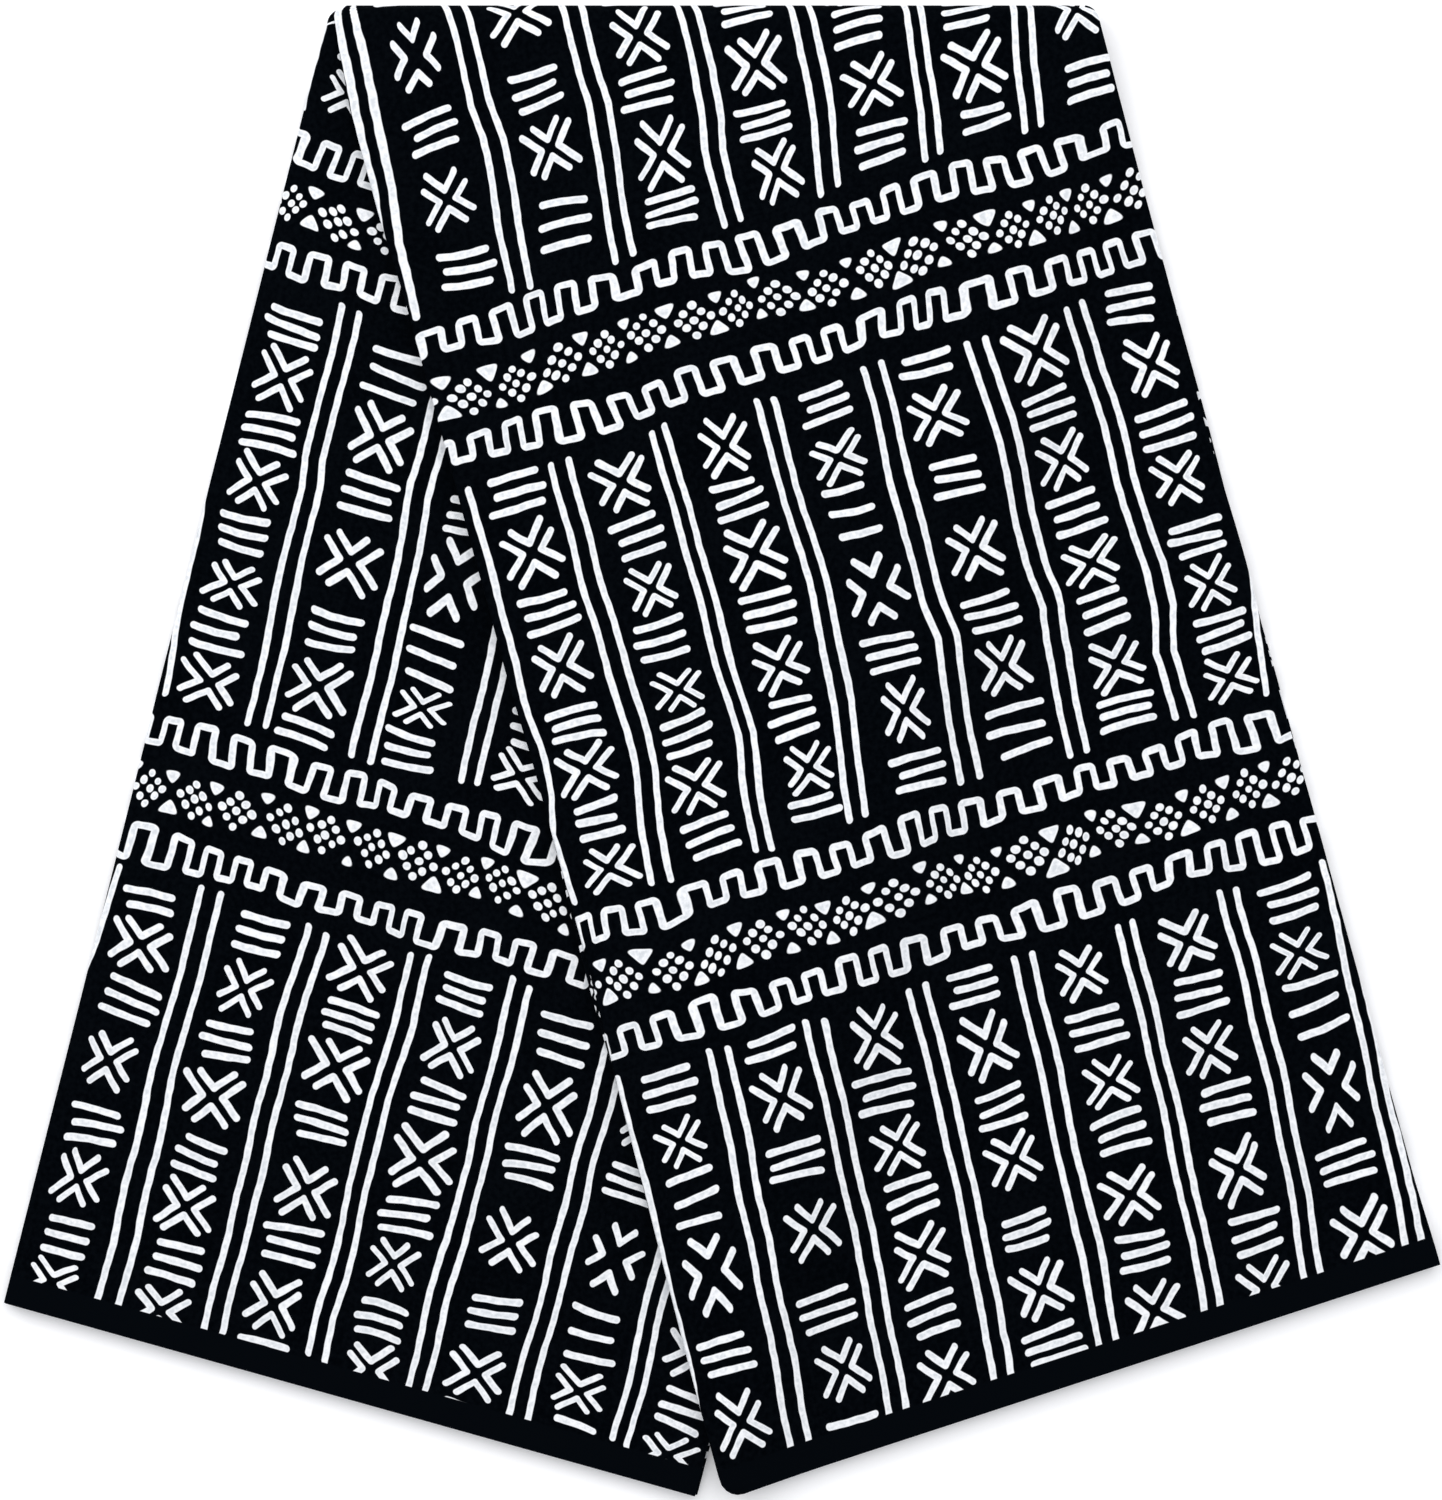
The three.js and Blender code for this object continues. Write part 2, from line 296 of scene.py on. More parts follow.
# Folded cloth: its print
# White motifs on a near-black ground, printed through the cloth: columns of crossed chevrons and bars between
# double lines, and bands of a meander on each side of a row of dots. A panel is what lies between two bands.
# One repeat is six columns wide, and each panel sets it three columns further on. Only the print's plan is
# worked out here; the material draws it.
COLUMN = 43.7
PANEL = 246.2  # from the middle of one band to that of the next
FIRST_BAND = 213.5  # from the front selvedge
SELVEDGE = 12.0  # the plain strip outside the print
LEFT_EDGE_CUT = STRIP_WIDTH - math.pi * TURN_RADIUS / 2  # cut length used up at the front leg's left side
HALF_REPEAT_SKIP = -14  # the column, on a hidden layer, past which the repeat has slipped by half

# The print leans a little on the strip: (distance along it, shift of the columns)
LEAN = ((0, -11.3), (60, -8.4), (150, -4.0), (300, -2.3), (600, 3.5), (760, 0.0), (1172, 0.0))

# Its columns stand a little unevenly: (place across the cut length, shift of the columns)
SPREAD = (
    (-1500, 0.0), (-1440, -0.5), (-1400, -2.0), (-1300, -2.2), (-1250, -0.8), (-1190, 1.5),
    (0, 1.8), (90, 0.4), (300, 0.0),
)

# They fan out towards the fold: (distance along the strip, shift at the front leg's right side)
FAN = ((0, 0.0), (360, 0.0), (430, -3.6), (480, -0.5), (560, 8.0), (600, 8.0), (700, 0.0), (1172, 0.0))

# Its rows don't run quite square to the selvedge: (place across the cut length, shift of the rows)
SKEW = ((-1200, 0.0), (0, 0.0), (300, -6.9))

# Each panel is drawn a little taller or shorter in places: (place in the chart, place in the panel)
PANELS = (
    ((44, 44), (96, 95.5), (121, 120.5), (149, 154), (164, 173), (201, 213)),
    ((40, 40), (210, 210)),
    (
        (43, 40), (51, 49), (73, 68), (92, 73.5), (123, 108),
        (147, 136), (159, 150), (180, 174.5), (201, 199),
    ),
    ((43, 40.5), (92, 84.5), (147, 140.5), (201, 198)),
    ((43, 33), (70, 56.5), (120, 107.5), (160, 156), (201, 200.5)),
)

# One repeat, column by column: each motif's distance from the band above, and a cross or how many bars it is
CHART = (
    ((44, 3), (69, "cross"), (95, 3), (117, "cross"), (141, 3), (161, "cross"), (181, 3), (200, "cross")),
    ((52, "cross"), (75, 3), (97, "cross"), (118, 3), (140, "cross"), (159, 3), (180, "cross"), (201, 3)),
    ((51, "cross"), (73, 3), (97, "cross"), (119, 3), (142, "cross"), (164, 3), (185, "cross"), (202, 2)),
    ((47, 3), (69, "cross"), (92, 3), (124, "open"), (151, 3), (175, "cross"), (200, 3)),
    ((43, 2), (64, "cross"), (90, 3), (120, "cross"), (147, 3), (169, "cross"), (195, 3)),
    ((51, "cross"), (75, 3), (97, "cross"), (118, 3), (139, "cross"), (159, 3), (181, "cross"), (201, 3)),
)
BAR_PITCH = 6.3
OWN_PITCHES = {(3, 92): 9.6, (4, 195): 8.2, (0, 181): 5.5, (5, 201): 5.4, (0, 141): 5.6}  # by chart place
BAR_HALF_LENGTH = 9.1
CROSS_REACH = 12.5  # from the middle of a crossed chevron to the end of its arms
LEAST_GAP = 2.0  # between one motif and the next
BROADER = 1.08  # crossed chevrons are drawn wider where the repeat has slipped
TALLER = 1.2  # and open ones taller
STROKE = 1.36  # half the width of a drawn stroke
OPEN_CODE = 100  # marks an open cross in the plan
SEEDS = 90  # how many ways a motif's strokes may be drawn, fewer than OPEN_CODE

# What the hand changes from one motif or line to the next, as (least, most); the tilt is in degrees
BY_HAND = dict(
    down=(-0.5, 0.5),
    over=(-1.2, 0.6),
    tilt=(-4.5, 4.5),
    wide=(0.82, 1.02),
    tall=(0.98, 1.15),
    pitch=(0.93, 1.04),
    half_length=(0.85, 1.07),
    line_start=(-1.5, 1.5),
    line_end=(-2.5, 1.5),
    line_slant=(-0.25, 0.25),
)

# How far each double line of the repeat wanders sideways, at these distances from the band above
WANDER_AT = (31, 85, 121, 136, 150, 165, 182, 212)
WANDER = (
    (-1.0, 0.5, 0.6, 0.7, 2.4, 1.9, -2.9, -0.3),
    (-1.7, -1.9, 0.1, 0.6, 1.1, 1.6, -0.5, -3.6),
    (-3.8, -1.7, -1.0, -0.7, 0.1, 0.7, -1.2, -3.5),
    (-2.9, -1.9, -0.6, -0.6, -0.8, -1.8, -4.2, -7.5),
    (0.8, -0.7, -1.0, -1.2, 1.0, -0.2, -1.2, -3.3),
    (0.5, 1.1, 0.2, -0.3, 2.4, 0.5, -1.2, -2.4),
)
WANDER_SHARES = (0.35, 1.0, 0.5, 0.6, 0.35)  # how much of it each panel shows
LINES_FROM, LINES_TO = 38.0, 211.0  # where the double lines start and stop, from the band above
LINE_HALF_GAPS = (3.6, 3.8, 3.1, 3.4, 3.9, 3.7)  # from a double line's middle to its strokes, in the repeat

# Some lines and columns near the legs' edges go their own way, by panel and number: a line's further shifts
# at the first and last of those distances, a column's further shift, and a line's own half gap
LINE_SHIFTS = {
    (0, 0): (0.0, 5.2),
    (0, 1): (2.6, 1.8),
    (0, 7): (-3.6, -3.3),
    (1, 7): (4.0, -3.2),
    (2, 0): (0.4, -0.3),
    (3, -29): (-1.3, 3.5),
    (3, -28): (-3.0, 3.5),
    (3, -27): (-3.4, 6.9),
    (4, -27): (12.7, -0.7),
}
COLUMN_SHIFTS = {(0, 0): 1.8, (0, 1): 2.4, (3, -30): 2.8}
OWN_HALF_GAPS = {(0, 7): 3.0, (2, 0): 2.9, (4, -28): 4.2}


def read_off(pairs, value):
    """A value read off a line drawn through (from, to) pairs, which runs on past its ends."""
    for (x0, y0), (x1, y1) in zip(pairs, pairs[1:]):
        if value <= x1 or (x1, y1) == pairs[-1]:
            return between(y0, y1, (value - x0) / (x1 - x0))


def lean(over, along):
    fan = read_off(FAN, along) * min(1.0, max(0.0, over / STRIP_WIDTH))
    return read_off(LEAN, along) + read_off(SPREAD, over) + fan


def panel_of(along):
    """The panel at a distance along the strip, and the distance from the band above it."""
    panel = min(len(PANELS) - 1, max(0, math.ceil((along - FIRST_BAND) / PANEL)))
    return panel, FIRST_BAND + PANEL * panel - along


def chart_place(panel, number):
    """The place in the repeat of a column or a line, by its panel and its number."""
    slipped = 3 if number < HALF_REPEAT_SKIP else 0
    return (number + slipped + 3 * ((panel + 1) % 2)) % len(CHART)


def wander(panel, line, down):
    """Sideways shift of a double line, at a distance from the band above."""
    shifts = WANDER[chart_place(panel, line)]
    within = min(WANDER_AT[-1], max(WANDER_AT[0], down))
    first, last = LINE_SHIFTS.get((panel, line), (0.0, 0.0))
    own_shift = between(first, last, (within - WANDER_AT[0]) / (WANDER_AT[-1] - WANDER_AT[0]))
    return read_off(tuple(zip(WANDER_AT, shifts)), within) * WANDER_SHARES[panel] + own_shift


def half_height(motif):
    """From a motif's middle to its end, along the strip."""
    if isinstance(motif["kind"], int):
        return motif["pitch"] * (motif["kind"] - 1) / 2 + STROKE
    return CROSS_REACH * motif["tall"]


def column_motifs(panel, column):
    """Every motif of one column in one panel, each drawn a little differently by hand."""
    hand = random.Random(1000 * panel + column)
    place = chart_place(panel, column)
    aside = COLUMN_SHIFTS.get((panel, column), 0.0)
    motifs = []
    for down, kind in CHART[place]:
        is_open = kind == "open"
        motifs.append(dict(
            kind=kind,
            down=read_off(PANELS[panel], down) + hand.uniform(*BY_HAND["down"]),
            over=(column + 0.5) * COLUMN + aside + hand.uniform(*BY_HAND["over"]),
            tilt=math.radians(hand.uniform(*BY_HAND["tilt"])),
            wide=hand.uniform(*BY_HAND["wide"]) * (BROADER if column < HALF_REPEAT_SKIP else 1),
            tall=hand.uniform(*BY_HAND["tall"]) * (TALLER if is_open else 1),
            pitch=OWN_PITCHES.get((place, down), BAR_PITCH) * hand.uniform(*BY_HAND["pitch"]),
            half_length=BAR_HALF_LENGTH * hand.uniform(*BY_HAND["half_length"]),
            seed=hand.randrange(1, SEEDS),
        ))
    for motif, after in zip(motifs, motifs[1:]):
        room = after["down"] - motif["down"] - LEAST_GAP
        for cross, bars in ((motif, after), (after, motif)):
            if cross["kind"] == "cross":
                cross["tall"] = min(cross["tall"], (room - half_height(bars)) / CROSS_REACH)
    return motifs


motifs_by_column = {}


def nearest_motif(panel, column, down, wants_bars):
    key = (panel, column)
    if key not in motifs_by_column:
        motifs_by_column[key] = column_motifs(panel, column)
    fitting = [m for m in motifs_by_column[key] if isinstance(m["kind"], int) == wants_bars]
    return min(fitting, key=lambda m: abs(m["down"] - down))


def motif_view(motif, over, along, down):
    """A point as the motif's own drawing sees it, turned and scaled about its middle."""
    x = over - motif["over"] - lean(over, along)
    y = motif["down"] - down
    c, s = math.cos(motif["tilt"]), math.sin(motif["tilt"])
    return (c * x + s * y, c * y - s * x)


def print_plan(corners):
    """For one face's corners, (over, along), what the material reads at each of them."""
    middle_over = sum(over for over, _ in corners) / len(corners)
    middle_along = sum(along for _, along in corners) / len(corners)
    panel, middle_down = panel_of(middle_along)
    band = FIRST_BAND + PANEL * panel
    straight = (middle_over - lean(middle_over, middle_along)) / COLUMN
    column = math.floor(straight)
    line = round(straight)
    cross = nearest_motif(panel, column, middle_down, wants_bars=False)
    bars = nearest_motif(panel, column, middle_down, wants_bars=True)
    half_gap = OWN_HALF_GAPS.get((panel, line), LINE_HALF_GAPS[chart_place(panel, line)])
    hand = random.Random(5000 + 100 * panel + line)
    first = LINES_FROM + hand.uniform(*BY_HAND["line_start"])
    last = LINES_TO + hand.uniform(*BY_HAND["line_end"])
    slant = hand.uniform(*BY_HAND["line_slant"])
    cross_code = (OPEN_CODE if cross["kind"] == "open" else 0) + cross["seed"]
    plan = []
    for over, along in corners:
        down = band - along
        beside = over - line * COLUMN - lean(over, along) - wander(panel, line, down)
        past_end = max(first - down, down - last) + slant * beside
        x, y = motif_view(cross, over, along, down)
        bar_x, bar_y = motif_view(bars, over, along, down)
        plan.append(dict(
            line=(beside, past_end, half_gap),
            cross=(x / cross["wide"], y / cross["tall"], cross_code),
            bars=(bar_x, bar_y, bars["half_length"]),
            bar_rule=(bars["pitch"], bars["kind"], bars["seed"]),
        ))
    return plan


SHARP_FROM = math.radians(50)  # keeps the cut edges crisp and the turns round
places = [tuple(value * MM for value in point) for row in rows for point, _ in row]
flat = [
    (LEFT_EDGE_CUT - station["cut"], along)
    for row in rows
    for station, (_, along) in zip(across_cut, row)
]
printed = [(over, along - read_off(SKEW, over)) for over, along in flat]
count = len(across_cut)
faces = []
for row in range(len(rows) - 1):
    for i in range(count - 1):
        a = row * count + i
        faces.append((a, a + 1, a + 1 + count, a + count))

sheet = bpy.data.meshes.new("folded_cloth_sheet")
sheet.from_pydata(places, [], faces)
for name, laid_out in (("cloth", flat), ("print", printed)):
    sheet_map = sheet.uv_layers.new(name=name)
    sheet_map.uv.foreach_set("vector", [value * MM for face in faces for i in face for value in laid_out[i]])
plans = [plan for face in faces for plan in print_plan([printed[i] for i in face])]
for name in ("line", "cross", "bars", "bar_rule"):
    attribute = sheet.attributes.new("print_" + name, "FLOAT_VECTOR", "CORNER")
    attribute.data.foreach_set("vector", [value for plan in plans for value in plan[name]])

cloth = bpy.data.objects.new("folded_cloth_sheet", sheet)
bpy.context.scene.collection.objects.link(cloth)
body = cloth.modifiers.new("Thickness", "SOLIDIFY")
body.thickness = SHEET_THICKNESS * MM
body.offset = 0
bpy.context.view_layer.update()
solid_sheet = bpy.data.meshes.new_from_object(cloth.evaluated_get(bpy.context.evaluated_depsgraph_get()))
cloth.modifiers.clear()
cloth.data = solid_sheet
solid_sheet.shade_smooth()
solid_sheet.set_sharp_from_angle(angle=SHARP_FROM)


# Folded cloth: its material
# Plain-woven cotton, 0.35 mm to a thread, printed with a near-black dye that leaves the motifs white. The dye
# soaks through, so both faces show it. It is matt, and its outlines waver as hand-cut ones do.
DYE = ("#010306", "#05080c")  # darkest and lightest threads
COTTON = ("#f6f7f9", "#d4d8dc")  # cleanest and greyest threads
SELVEDGE_DYE = "#04070b"
EDGE_SOFTNESS = 0.16  # of a motif's outline
SELVEDGE_SOFTNESS = 0.6  # of the line beside the selvedge
LINE_STROKE, BAR_STROKE = STROKE - 0.05, STROKE + 0.1
WOBBLES = ((36.0, 2.6), (5.5, 0.5))  # size and reach: over a motif or two, and along an outline
DRAWN_ALONG = 46.0  # how far along a band the hand drifts one way
DRAWN_APART = 7.3  # in the drift's own steps, from one band to the next

# What differs from one drawn piece to the next, as (least, most). A bar bends by a share of x squared, and
# fans out from the others by a share of x times y.
CHEVRON_TIP = (3.4, 4.2)  # from the middle of the cross
CHEVRON_ARM = (5.7, 7.5)
CHEVRON_STEEPNESS = (0.9, 1.16)
OPEN_TIP_OUT, OPEN_ARM_CUT = 1.9, 1.3  # how an open cross departs from that
BAR_BEND = (-0.005, 0.005)
BAR_FAN = (-0.004, 0.004)
BAR_ASIDE = (-1.3, 1.3)
BAR_LONGER = (-0.5, 1.3)  # at each end
BAR_TURN = (-0.07, 0.07)  # as a slope
DIAMOND_ASIDE = (-0.9, 0.9)
DIAMOND_UP = (-1.2, 1.2)
DIAMOND_TILT = (-0.17, 0.17)  # as a slope
DOT_NUDGE = (-0.4, 0.4)
DOT_SMALLER = (-0.17, 0.17)

# The bands: a square meander on each side, and between them diamonds of nine dots, with stones in their gaps
MEANDER_STEP = 7.5
MEANDER_HEIGHT = 5.4  # half of it
MEANDER_CORNER = 1.2
MEANDER_ABOVE = 23.2  # its middle from the band's
MEANDER_APART = 31.0  # half the shift of one meander along the other
MEANDER_DRIFT = 6.0  # how far the hand moves it up or down,
MEANDER_STRETCH = 14.0  # along the band,
MEANDER_LEAN = 0.6  # off the upright,
MEANDER_UNEVEN = 5.0  # and how much it changes its height
DIAMOND = 18.8  # from one diamond to the next
DOT_PITCH = 4.5
DOT_RADIUS = 1.6
DOTS_DRIFT = 9.0  # how far the hand moves them along the band and across it
STONE_MIDDLE = (-1.5 - DIAMOND / 2, 1.5 - DIAMOND / 2)  # as a shift back to the diamond before it
STONE_TIP = (1.3, 3.8)  # from the middle of the band
STONE_BASE = (8.3, 9.8)  # likewise
STONE_SLOPE = 0.68
STONE_BLUNT = 1.1
STONE_ROUNDING = (0.8, 2.2)  # for each millimetre that its tip is out, and besides

# The cloth itself
THREAD_PITCH = 1.5  # coarser than the real thread, so that it shows
WEAVE_SHARE, WEAVE_STRENGTH, WEAVE_DEPTH = 0.25, 0.25, 0.15
SLUB, SLUB_SHARE = 2.2, 0.9  # size and strength
PATCH, PATCH_SHARE = 30.0, 0.3
UNEVEN_FROM, UNEVEN_TO = 0.42, 0.78  # what of both together counts as none and as full
STROKE_CORE, STROKE_RIM, RIM_GREY = -0.9, -0.2, 0.25  # places inside a stroke, and the rim's share of grey
DYE_ROUGHNESS, COTTON_ROUGHNESS = 0.78, 0.9
SPECULAR = 0.008


def linear(hex_colour):
    """An sRGB hex colour as linear values with alpha."""
    parts = [int(hex_colour[i:i + 2], 16) / 255 for i in (1, 3, 5)]
    return [p / 12.92 if p <= 0.04045 else ((p + 0.055) / 1.055) ** 2.4 for p in parts] + [1.0]


def add(tree, kind, settings=None, inputs=()):
    """Adds a node, with its settings and with values or links for its inputs, by place or by name."""
    node = tree.nodes.new(kind)
    for name, value in (settings or {}).items():
        setattr(node, name, value)
    for key, value in inputs.items() if isinstance(inputs, dict) else enumerate(inputs):
        if isinstance(value, bpy.types.Node):
            value = value.outputs[0]
        if isinstance(value, bpy.types.NodeSocket):
            tree.links.new(value, node.inputs[key])
        else:
            node.inputs[key].default_value = value
    return node


def maths(tree, operation, *values):
    return add(tree, "ShaderNodeMath", {"operation": operation}, values)


def vector_maths(tree, operation, *values):
    return add(tree, "ShaderNodeVectorMath", {"operation": operation}, values)


def length_of(tree, vector):
    return vector_maths(tree, "LENGTH", vector).outputs["Value"]


def scaled(tree, vector, scale):
    inputs = {"Vector": vector, "Scale": scale}
    return add(tree, "ShaderNodeVectorMath", {"operation": "SCALE"}, inputs)


def joined(tree, *parts):
    return add(tree, "ShaderNodeCombineXYZ", inputs=parts)


def split(tree, vector):
    return add(tree, "ShaderNodeSeparateXYZ", inputs=[vector]).outputs


def noise_on(tree, place, size, detail):
    """Soft noise on a flat place, with features of about the given size."""
    inputs = {"Vector": place, "Scale": 1 / size, "Detail": detail}
    return add(tree, "ShaderNodeTexNoise", {"noise_dimensions": "2D"}, inputs)


def ramp(tree, value, low, high, at_low, at_high, kind="LINEAR"):
    """A value taken from low and high to at_low and at_high, and held there beyond them."""
    ends = [value, low, high, at_low, at_high]
    return add(tree, "ShaderNodeMapRange", {"interpolation_type": kind}, ends)


def mixed(tree, share, a, b):
    """A colour between two others."""
    colours = {"Factor": share, "A": a, "B": b}
    return add(tree, "ShaderNodeMix", {"data_type": "RGBA"}, colours).outputs["Result"]


def plan_at(tree, name, wobble):
    """One of the print's plans, moved a little by the wobble of the hand: x, y and the third value."""
    plan = add(tree, "ShaderNodeAttribute", {"attribute_name": "print_" + name}).outputs["Vector"]
    moved = split(tree, vector_maths(tree, "ADD", plan, wobble))
    return moved["X"], moved["Y"], split(tree, plan)["Z"]


def double_lines(tree, wobble):
    """Distance in millimetres from the nearest double line's stroke."""
    x, y, half_gap = plan_at(tree, "line", wobble)
    beside = maths(tree, "ABSOLUTE", x)
    off = maths(tree, "SUBTRACT", beside, half_gap)
    past = maths(tree, "MAXIMUM", y, 0.0)
    length = length_of(tree, joined(tree, off, past))
    return maths(tree, "SUBTRACT", length, LINE_STROKE)


def by_hand(tree, place, *ranges):
    """Up to three values that stay the same for one drawn piece, each within its own (least, most)."""
    filled = [*ranges, (0.0, 0.0), (0.0, 0.0)][:3]
    spans = [most - least for least, most in filled]
    leasts = [least for least, _ in filled]
    noise = add(tree, "ShaderNodeTexWhiteNoise", inputs={"Vector": place})
    values = split(tree, vector_maths(tree, "MULTIPLY_ADD", noise.outputs["Color"], spans, leasts))
    return values[:len(ranges)]


def crossed_chevrons(tree, wobble):
    """Distance from four chevrons that point at one middle. An open one has them further out."""
    x, y, code = plan_at(tree, "cross", wobble)
    whole_code = maths(tree, "ROUND", code)
    is_open = maths(tree, "GREATER_THAN", whole_code, OPEN_CODE - 1.0)
    right = maths(tree, "GREATER_THAN", x, y)
    x_and_y = maths(tree, "ADD", x, y)
    upper = maths(tree, "GREATER_THAN", x_and_y, 0.0)
    x_by_y = maths(tree, "MULTIPLY", x, y)
    first_arm = maths(tree, "GREATER_THAN", x_by_y, 0.0)
    chevron = joined(tree, right, upper, whole_code)
    arm_number = maths(tree, "MULTIPLY_ADD", first_arm, 2.0, right)
    arm_place = joined(tree, arm_number, upper, whole_code)
    closed_tip, steepness = by_hand(tree, chevron, CHEVRON_TIP, CHEVRON_STEEPNESS)
    [closed_arm] = by_hand(tree, arm_place, CHEVRON_ARM)
    tip = maths(tree, "MULTIPLY_ADD", is_open, OPEN_TIP_OUT, closed_tip)
    arm = maths(tree, "MULTIPLY_ADD", is_open, -OPEN_ARM_CUT, closed_arm)
    a = maths(tree, "ABSOLUTE", x)
    b = maths(tree, "ABSOLUTE", y)
    out = maths(tree, "MAXIMUM", a, b)
    straight_side = maths(tree, "MINIMUM", a, b)
    side = maths(tree, "MULTIPLY", straight_side, steepness)
    from_tip = maths(tree, "SUBTRACT", out, tip)
    total = maths(tree, "ADD", from_tip, side)
    halved = maths(tree, "MULTIPLY", total, 0.5)
    not_before = maths(tree, "MAXIMUM", halved, 0.0)
    on_arm = maths(tree, "MINIMUM", not_before, arm)
    off_out = maths(tree, "SUBTRACT", from_tip, on_arm)
    off_side = maths(tree, "SUBTRACT", side, on_arm)
    length = length_of(tree, joined(tree, off_out, off_side))
    return maths(tree, "SUBTRACT", length, STROKE)


def stacked_bars(tree, wobble):
    """Distance from a group of short bars, each a little longer, shorter or further along than the next."""
    x, y, half_length = plan_at(tree, "bars", wobble)
    rule = add(tree, "ShaderNodeAttribute", {"attribute_name": "print_bar_rule"})
    pitch, how_many, seed = split(tree, rule.outputs["Vector"])
    whole_seed = maths(tree, "ROUND", seed)
    group = joined(tree, whole_seed)
    bend, fan = by_hand(tree, group, BAR_BEND, BAR_FAN)
    squared = maths(tree, "MULTIPLY", x, x)
    bent = maths(tree, "MULTIPLY_ADD", squared, bend, y)
    x_by_y = maths(tree, "MULTIPLY", x, y)
    fanned = maths(tree, "MULTIPLY_ADD", x_by_y, fan, bent)
    in_pitches = maths(tree, "DIVIDE", fanned, pitch)
    last = maths(tree, "SUBTRACT", how_many, 1.0)
    from_first = maths(tree, "MULTIPLY_ADD", last, 0.5, in_pitches)
    nearest = maths(tree, "ROUND", from_first)
    at_least = maths(tree, "MAXIMUM", nearest, 0.0)
    number = maths(tree, "MINIMUM", at_least, last)
    off_pitches = maths(tree, "SUBTRACT", from_first, number)
    whole_number = maths(tree, "ROUND", number)
    which = joined(tree, whole_number, whole_seed)
    aside, longer, turn = by_hand(tree, which, BAR_ASIDE, BAR_LONGER, BAR_TURN)
    shifted = maths(tree, "ADD", x, aside)
    turned = maths(tree, "MULTIPLY", shifted, turn)
    off = maths(tree, "MULTIPLY_ADD", off_pitches, pitch, turned)
    beside = maths(tree, "ABSOLUTE", shifted)
    reach = maths(tree, "ADD", longer, half_length)
    past = maths(tree, "SUBTRACT", beside, reach)
    past_end = maths(tree, "MAXIMUM", past, 0.0)
    length = length_of(tree, joined(tree, past_end, off))
    return maths(tree, "SUBTRACT", length, BAR_STROKE)


def meander(tree, over, across_band, hand):
    """Distance from the square meander with rounded corners on each side of a band."""
    side = maths(tree, "SIGN", across_band)
    above = maths(tree, "ABSOLUTE", across_band)
    drift = maths(tree, "MULTIPLY_ADD", hand["X"], MEANDER_DRIFT, -MEANDER_DRIFT / 2 - MEANDER_ABOVE)
    y = maths(tree, "ADD", above, drift)
    started = maths(tree, "MULTIPLY_ADD", side, MEANDER_APART, over)
    stretched = maths(tree, "MULTIPLY_ADD", hand["Y"], MEANDER_STRETCH, started)
    lean_by = maths(tree, "MULTIPLY_ADD", hand["X"], MEANDER_LEAN, -MEANDER_LEAN / 2)
    leaning = maths(tree, "MULTIPLY_ADD", y, lean_by, stretched)
    steps = maths(tree, "DIVIDE", leaning, MEANDER_STEP)
    number = maths(tree, "FLOOR", steps)
    within = maths(tree, "FRACT", steps)
    to_upright = maths(tree, "PINGPONG", within, 0.5)
    aside = maths(tree, "MULTIPLY", to_upright, MEANDER_STEP)
    half_number = maths(tree, "MULTIPLY", number, 0.5)
    odd = maths(tree, "FRACT", half_number)
    sign = maths(tree, "MULTIPLY_ADD", odd, 4.0, -1.0)
    least = MEANDER_HEIGHT - MEANDER_UNEVEN / 2
    height = maths(tree, "MULTIPLY_ADD", hand["Z"], MEANDER_UNEVEN, least)
    corner_at = maths(tree, "SUBTRACT", height, MEANDER_CORNER)
    towards_run = maths(tree, "MULTIPLY", y, sign)
    # On the run's side: a box with rounded corners
    from_upright = maths(tree, "SUBTRACT", MEANDER_CORNER, aside)
    from_corner = maths(tree, "SUBTRACT", towards_run, corner_at)
    most = maths(tree, "MAXIMUM", from_upright, from_corner)
    inside = maths(tree, "MINIMUM", most, 0.0)
    pair = joined(tree, from_upright, from_corner)
    around = length_of(tree, vector_maths(tree, "MAXIMUM", pair, (0.0, 0.0, 0.0)))
    boxed = maths(tree, "ADD", around, inside)
    off_box = maths(tree, "SUBTRACT", boxed, MEANDER_CORNER)
    to_box = maths(tree, "ABSOLUTE", off_box)
    # On the other side: the outside of the next run's corner
    away = maths(tree, "MULTIPLY", towards_run, -1.0)
    past_corner = maths(tree, "SUBTRACT", away, corner_at)
    is_past = maths(tree, "GREATER_THAN", past_corner, 0.0)
    beside = maths(tree, "ADD", aside, MEANDER_CORNER)
    next_around = length_of(tree, joined(tree, beside, past_corner))
    to_next = maths(tree, "SUBTRACT", next_around, MEANDER_CORNER)
    sides = {"Factor": is_past, "A": to_box, "B": to_next}
    nearest = add(tree, "ShaderNodeMix", {"data_type": "FLOAT"}, sides)
    return maths(tree, "SUBTRACT", nearest, STROKE)


